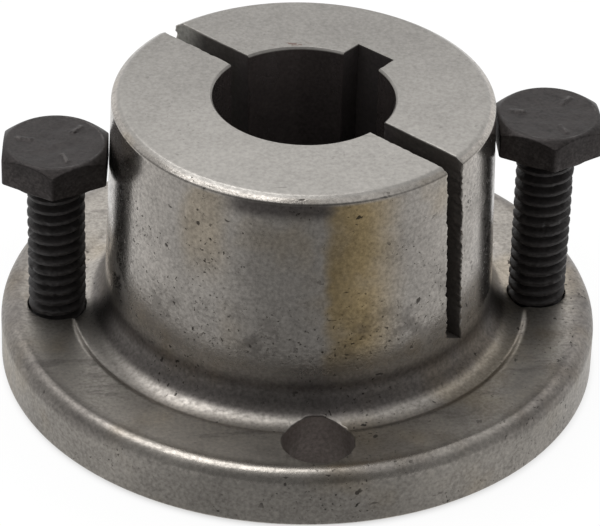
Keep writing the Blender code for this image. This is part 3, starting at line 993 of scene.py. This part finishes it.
class ScrewSizes(bpy.types.PropertyGroup):
    """Sizes of the cap screws"""

    across_flats: length_of("Across flats", "Width of the hexagon over flats", 0.01085)
    head_height: length_of("Head height", "Height of the head", 0.0037)
    head_top_diameter: length_of("Head top", "Flat circle on top of the head", 0.0104)
    chamfer_angle: angle_of("Chamfer angle", "Slope of the head's chamfer", 35)
    thread_diameter: length_of("Thread diameter", "Over the thread's crests", 0.0061)
    thread_depth: length_of("Thread depth", "From crest to root", 0.000762)
    thread_pitch: length_of("Thread pitch", "Distance between turns", 0.00127)
    thread_start: length_of("Thread start", "From the head to the first groove", 0.001)
    screw_length: length_of("Screw length", "From under the head to the point", 0.022225)
    left_turn: angle_of("Left head turn", "Turn of the left screw's head", 25.4)
    right_turn: angle_of("Right head turn", "Turn of the right screw's head", 29.3)


class BushingFinish(bpy.types.PropertyGroup):
    """Colours and finish of the iron and of the blackened steel"""

    nose_colour: colour_of("Nose", "Ground nose face", (0.40, 0.382, 0.357))
    # Levels of the painted shade across the nose, front and back.
    nose_front: share_of("Nose front", "Tone of the nose towards the front", 1.0)
    nose_back_shade: share_of("Nose back", "Tone of the nose towards the back", 0.77)
    barrel_colour: colour_of("Barrel", "Turned barrel and foot groove", (0.418, 0.39, 0.358))
    flange_colour: colour_of("Flange", "Rougher flange", (0.395, 0.367, 0.332))
    # Painted shade: the bore's dark colour.
    bore_shade_colour: colour_of("Bore", "Oiled bore", (0.06, 0.05, 0.048))
    hole_colour: colour_of("Screw holes", "Drilled walls in the flange", (0.3, 0.26, 0.24))
    # Painted shade deep in the slit and painted light at its mouth: one material in two tones.
    slit_shade_colour: colour_of("Slit", "Sooty walls deep in the slit", (0.06, 0.051, 0.044))
    slit_lit_colour: colour_of("Slit mouth", "Slit walls near the nose", (0.3, 0.29, 0.262))
    hole_dirt: share_of("Hole dirt", "How dull the drilled walls are", 0.3)
    hole_roughness: share_of("Hole roughness", "Roughness of the drilled walls", 0.36)
    flange_metal: share_of("Flange metal", "How bare the flange's metal is", 0.9)
    # Strength of the painted shade at the barrel's foot.
    foot_shade: share_of("Foot grime", "How dark the barrel's foot is", 0.76)
    flange_grime: share_of("Flange grime", "How dark the dirt on the flange is", 0.38)
    # Strength of the painted shade on the foot at the front.
    front_shade: share_of("Smear", "How dark the smear at the front of the foot is", 0.3)
    rim_roughness: share_of("Rim roughness", "Roughness of the rim where it is worn", 0.27)
    # Strength of the painted shade on the flange's rounded edge.
    rim_shade: share_of("Rim grime", "How dull the flange's rounded edge is", 0.46)
    foot_roughness: share_of("Foot roughness", "Roughness of the barrel's foot", 0.42)
    cut_roughness: share_of("Cut roughness", "Roughness of sawn and drilled walls", 0.55)
    # Tone of the painted shade in the keyway, against the bore's.
    keyway_tone: share_of("Keyway tone", "How light the keyway is beside the bore", 0.8)
    stain_colour: colour_of("Stain", "Straw heat stain", (0.94, 0.77, 0.46))
    # Used for dirt and also for painted shade and a painted reflection.
    grime_and_shade_colour: colour_of("Grime", "Dark oily grime", (0.08, 0.07, 0.068))
    rust_colour: colour_of("Rust", "Brown traces behind the bore", (0.14, 0.07, 0.05))
    pit_colour: colour_of("Pits", "Bottom of the pits", (0.03, 0.025, 0.022))
    blotches: share_of("Blotches", "How dark the blotches on the barrel are", 0.3)
    # Strength of the painted dark reflection under the nose's edge.
    painted_reflection: share_of("Smudge", "How dark the smudge under the nose's edge is", 0.82)
    nose_roughness: share_of("Nose roughness", "Roughness of the nose face", 0.42)
    barrel_roughness: share_of("Barrel roughness", "Roughness of the barrel", 0.22)
    flange_roughness: share_of("Flange roughness", "Roughness of the flange", 0.4)
    oxide_colour: colour_of("Black oxide", "Blackened steel of the heads", (0.06, 0.0535, 0.052))
    # The threads are given a darker colour than the heads.
    thread_colour: colour_of("Threads", "Oily blackened threads", (0.026, 0.0225, 0.022))
    thread_metal: share_of("Thread metal", "How bare the threads' metal is", 0.3)
    rubbed_colour: colour_of("Rubbed steel", "Steel where the black is rubbed", (0.17, 0.158, 0.152))
    oxide_roughness: share_of("Oxide roughness", "Roughness of the blackened steel", 0.48)


class StageSettings(bpy.types.PropertyGroup):
    """Camera and sky"""

    view_turn: angle_of("View turn", "Camera's turn from the front, to the left", 5.566)
    view_rise: angle_of("View rise", "Camera's angle above the floor", 34.113)
    view_roll: angle_of("View roll", "Camera's roll", 1.748)
    view_distance: length_of("View distance", "From the camera to what it looks at", 0.399333)
    view_lens: bpy.props.FloatProperty(
        name="Lens", description="Focal length in millimetres", default=224.72
    )
    world_strength: bpy.props.FloatProperty(
        name="Sky strength", description="Light from all round", default=0.55
    )


# Operators


class BUSHING_OT_casting(bpy.types.Operator):
    """Makes the flanged, tapered, keyed and sawn bushing"""

    bl_idname = "bushing.casting"
    bl_label = "Bushing"

    def execute(self, context):
        sizes = context.scene.bushing_sizes
        body = grid_object("bushing", turned_rows(bushing_outline(sizes), 360), True)
        cut(body, keyway_cutter(sizes))
        cut(body, slit_cutter(sizes))
        for name, azimuth, size, flare, chipping in HOLES:
            diameter = getattr(sizes, size)
            cut(body, hole_cutter(sizes, name, math.radians(azimuth), diameter, flare, chipping))
        points = np.empty(3 * len(body.data.vertices))
        body.data.vertices.foreach_get("co", points)
        write_attribute(body.data, "depth", MM * depth_under_skin(sizes, points.reshape(-1, 3) / MM))
        finish_shading(body, math.radians(32))
        body.data.materials.append(machined_iron(context.scene.bushing_finish, sizes))
        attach(body, "bushing")
        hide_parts(BUSHING_NODE)
        return {"FINISHED"}


class BUSHING_OT_cap_screws(bpy.types.Operator):
    """Makes the two hexagon cap screws with their threads"""

    bl_idname = "bushing.cap_screws"
    bl_label = "Cap screws"

    def execute(self, context):
        sizes = context.scene.screw_sizes
        material = black_oxide(context.scene.bushing_finish)
        for seed, (side, (node, body)) in enumerate(SCREWS.items()):
            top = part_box(node)[1].z / MM
            angle, rows = screw_rows(sizes, 5 + 20 * seed)
            turn = sizes.left_turn if side == "left" else sizes.right_turn
            centre = context.scene.bushing_sizes.bolt_circle_diameter / MM / 2
            x = (-centre if side == "left" else centre) + rows[..., 0] * np.cos(angle + turn)
            y = rows[..., 0] * np.sin(angle + turn)
            z = rows[..., 1] + top - sizes.head_height / MM
            screw = grid_object("screw_" + side, np.stack([x, y, z], axis=-1))
            wear = screw_wear(rows, sizes.head_height / MM, sizes.head_top_diameter / MM / 2)
            write_attribute(screw.data, "wear", wear)
            # The threads, and a little of the head's top, are made darker and less metallic.
            on_top = np.clip((rows[..., 1] - sizes.head_height / MM + 0.5) / 0.3, 0, 1)
            under_head = np.clip(-rows[..., 1] / 0.3, 0, 1)
            write_attribute(screw.data, "darkening", np.maximum(0.4 * on_top, under_head))
            finish_shading(screw, math.radians(40))
            screw.data.materials.append(material)
            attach(screw, body)
            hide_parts(node)
        return {"FINISHED"}


class BUSHING_OT_stage(bpy.types.Operator):
    """Sets the floor, the tent of grey cards, the sky, the lamp and the camera"""

    bl_idname = "bushing.stage"
    bl_label = "Stage"

    def execute(self, context):
        settings = context.scene.bushing_stage
        self.make_floor()
        self.make_tent(settings)
        self.make_sky(context.scene, settings)
        self.make_lamp(context.scene)
        self.make_camera(context.scene, settings)
        context.scene.view_settings.view_transform = "Standard"
        return {"FINISHED"}

    def seen_directly(self, tree):
        """1 for what the camera, a reflection or a pane of glass shows."""
        rays = tree.node("ShaderNodeLightPath").outputs
        shown = tree.maths("MAXIMUM", rays["Is Camera Ray"], rays["Is Glossy Ray"])
        return tree.maths("MAXIMUM", shown, rays["Is Transmission Ray"])

    def make_floor(self):
        """A pale disc that fades into the sky and keeps the object's soft shadow."""
        angle = np.linspace(0, 2 * np.pi, FLOOR_COLUMNS, endpoint=False)
        radii = np.array(FLOOR_RINGS, float)[:, None]
        level = np.full((len(FLOOR_RINGS), FLOOR_COLUMNS), -FLOOR_DROP)
        rows = np.stack([radii * np.cos(angle), radii * np.sin(angle), level], axis=-1)
        mesh = bpy.data.meshes.new("floor")
        rings = (len(FLOOR_RINGS) - 1) * FLOOR_COLUMNS
        faces = skin(rows, False)[:rings] + [list(range(FLOOR_COLUMNS))]
        mesh.from_pydata((rows.reshape(-1, 3) * MM).tolist(), [], faces)
        floor = bpy.data.objects.new("floor", mesh)
        bpy.context.scene.collection.objects.link(floor)
        material, tree = new_material("pale floor")
        plain = tree.node("ShaderNodeBsdfDiffuse", {"Color": (0.8, 0.8, 0.8, 1)})
        white = tree.node("ShaderNodeEmission", {"Strength": 1.03})
        place = tree.node("ShaderNodeTexCoord").outputs["Object"]
        radius = tree.node("ShaderNodeVectorMath", {0: place}, operation="LENGTH").outputs["Value"]
        clear = tree.ramp(radius, 0.0295, 0.0325)
        far = tree.ramp(radius, 0.034, 0.05, 0.92, 1.0)
        lift = tree.product(self.seen_directly(tree), far, clear)
        mixed = tree.node("ShaderNodeMixShader", {0: lift, 1: plain, 2: white})
        tree.node("ShaderNodeOutputMaterial", {"Surface": mixed})
        mesh.materials.append(material)

    def make_tent(self, settings):
        """The tent of cards round the object, seen in reflections only.

        Its section runs from the flange's edge along a quarter of an ellipse, low over the
        floor and up, then along a second quarter to the top, all turned about Z.
        """
        quarter = np.linspace(0, np.pi / 2, 24)[:, None]
        around = np.linspace(0, 2 * np.pi, 120, endpoint=False)
        upper = quarter[1:-1]
        span = TENT_REACH - TENT_FOOT
        r = np.concatenate([TENT_FOOT + span * np.sin(quarter), TENT_REACH * np.cos(upper)])
        low = TENT_GAP + TENT_SHOULDER * (1 - np.cos(quarter))
        z = np.concatenate([low, TENT_SHOULDER + TENT_RISE * np.sin(upper)])
        rows = np.stack([r * np.cos(around), r * np.sin(around), z * np.ones_like(around)], -1)
        faces = skin(rows, False)
        mesh = bpy.data.meshes.new("card_tent")
        mesh.from_pydata((rows.reshape(-1, 3) * MM).tolist(), [], faces[:-2] + faces[-1:])
        tent = bpy.data.objects.new("card_tent", mesh)
        bpy.context.scene.collection.objects.link(tent)
        material, tree = new_material("grey cards")
        place = tree.node("ShaderNodeTexCoord").outputs["Object"]
        x, y, z = tree.node("ShaderNodeSeparateXYZ", {"Vector": place}).outputs
        azimuth = tree.maths("ARCTAN2", x, tree.maths("MULTIPLY", y, -1.0))
        azimuth = tree.maths("ADD", azimuth, settings.view_turn)
        away = tree.maths("DIVIDE", tree.maths("ABSOLUTE", azimuth), math.pi)
        rise = tree.maths("ARCTAN2", z, tree.reach(x, y))
        upward = tree.maths("DIVIDE", rise, math.pi / 2)
        low = self.grey_by(tree, away, FLOOR_GREYS)
        front = tree.ramp(away, 0.56, 0.78, 1.0, 0.0)
        back = self.grey_by(tree, upward, BACK_GREYS)
        ahead = self.grey_by(tree, upward, FRONT_GREYS)
        beside = tree.ramp(away, 0.12, 0.3, 1.0, SIDE_LIFT)
        ahead = tree.node("ShaderNodeVectorMath", {0: ahead, "Scale": beside}, operation="SCALE")
        high = tree.blend(front, back, ahead.outputs["Vector"])
        lift = tree.ramp(rise, math.radians(3), math.radians(14))
        glow = tree.node("ShaderNodeEmission", {"Color": tree.blend(lift, low, high)})
        tree.node("ShaderNodeOutputMaterial", {"Surface": glow})
        mesh.materials.append(material)
        for kind in ("camera", "diffuse", "transmission", "volume_scatter", "shadow"):
            setattr(tent, "visible_" + kind, False)

    def grey_by(self, tree, value, stops):
        """Grey levels along a value from 0 to 1."""
        made = tree.node("ShaderNodeValToRGB", {"Fac": value})
        elements = made.color_ramp.elements
        for number, (position, level) in enumerate(stops):
            stop = elements[number] if number < 2 else elements.new(position)
            stop.position = position
            stop.color = (level, level, level, 1)
        return made.outputs["Color"]

    def make_sky(self, scene, settings):
        """White where it is seen, and a plain level where it lights."""
        world = bpy.data.worlds.new("white sky")
        scene.world = world
        world.use_nodes = True
        tree = Tree(world.node_tree)
        level = tree.ramp(self.seen_directly(tree), 0, 1, settings.world_strength, 1.0, False)
        back = tree.node("ShaderNodeBackground", {"Color": (1, 1, 1, 1), "Strength": level})
        tree.node("ShaderNodeOutputWorld", {"Surface": back})

    def make_lamp(self, scene):
        """One large soft lamp, above and to the left."""
        place = Vector(LAMP_PLACE)
        data = bpy.data.lights.new("soft box above", "AREA")
        data.shape = "RECTANGLE"
        data.size, data.size_y = LAMP_SIZE
        data.energy = LAMP_POWER
        lamp = bpy.data.objects.new("soft box above", data)
        lamp.location = place
        lamp.rotation_euler = place.to_track_quat("Z", "Y").to_euler()
        scene.collection.objects.link(lamp)

    def make_camera(self, scene, settings):
        """The camera, set by its turn, rise and distance from the point that it looks at."""
        data = bpy.data.cameras.new("camera")
        data.lens = settings.view_lens
        data.sensor_width = 36
        data.clip_start = 0.01
        data.clip_end = 20
        camera = bpy.data.objects.new("camera", data)
        scene.collection.objects.link(camera)
        rise, turn = settings.view_rise, settings.view_turn
        back = Vector(
            (-math.sin(turn) * math.cos(rise), -math.cos(turn) * math.cos(rise), math.sin(rise))
        )
        camera.location = Vector(CAMERA_TARGET) + back * settings.view_distance
        roll = Quaternion((0, 0, 1), settings.view_roll)
        camera.rotation_mode = "QUATERNION"
        camera.rotation_quaternion = back.to_track_quat("Z", "Y") @ roll
        scene.camera = camera


class BUSHING_PT_panel(bpy.types.Panel):
    """Lists the steps and their settings"""

    bl_idname = "BUSHING_PT_panel"
    bl_label = "Split taper bushing"
    bl_space_type = "VIEW_3D"
    bl_region_type = "UI"
    bl_category = "Bushing"

    def draw(self, context):
        for operator in ("bushing.casting", "bushing.cap_screws", "bushing.stage"):
            self.layout.operator(operator)
        for name in SETTINGS:
            group = getattr(context.scene, name)
            for key in group.__annotations__:
                self.layout.prop(group, key)


CLASSES = (
    BushingSizes,
    ScrewSizes,
    BushingFinish,
    StageSettings,
    BUSHING_OT_casting,
    BUSHING_OT_cap_screws,
    BUSHING_OT_stage,
    BUSHING_PT_panel,
)
SETTINGS = {
    "bushing_sizes": BushingSizes,
    "screw_sizes": ScrewSizes,
    "bushing_finish": BushingFinish,
    "bushing_stage": StageSettings,
}


def register():
    """Adds the classes and their settings."""
    for cls in CLASSES:
        bpy.utils.register_class(cls)
    for name, cls in SETTINGS.items():
        setattr(bpy.types.Scene, name, bpy.props.PointerProperty(type=cls))


def unregister():
    """Takes the settings and the classes out again."""
    for name in SETTINGS:
        delattr(bpy.types.Scene, name)
    for cls in reversed(CLASSES):
        bpy.utils.unregister_class(cls)


def main():
    register()
    bpy.ops.bushing.casting()
    bpy.ops.bushing.cap_screws()
    bpy.ops.bushing.stage()


if __name__ == "__main__":
    main()
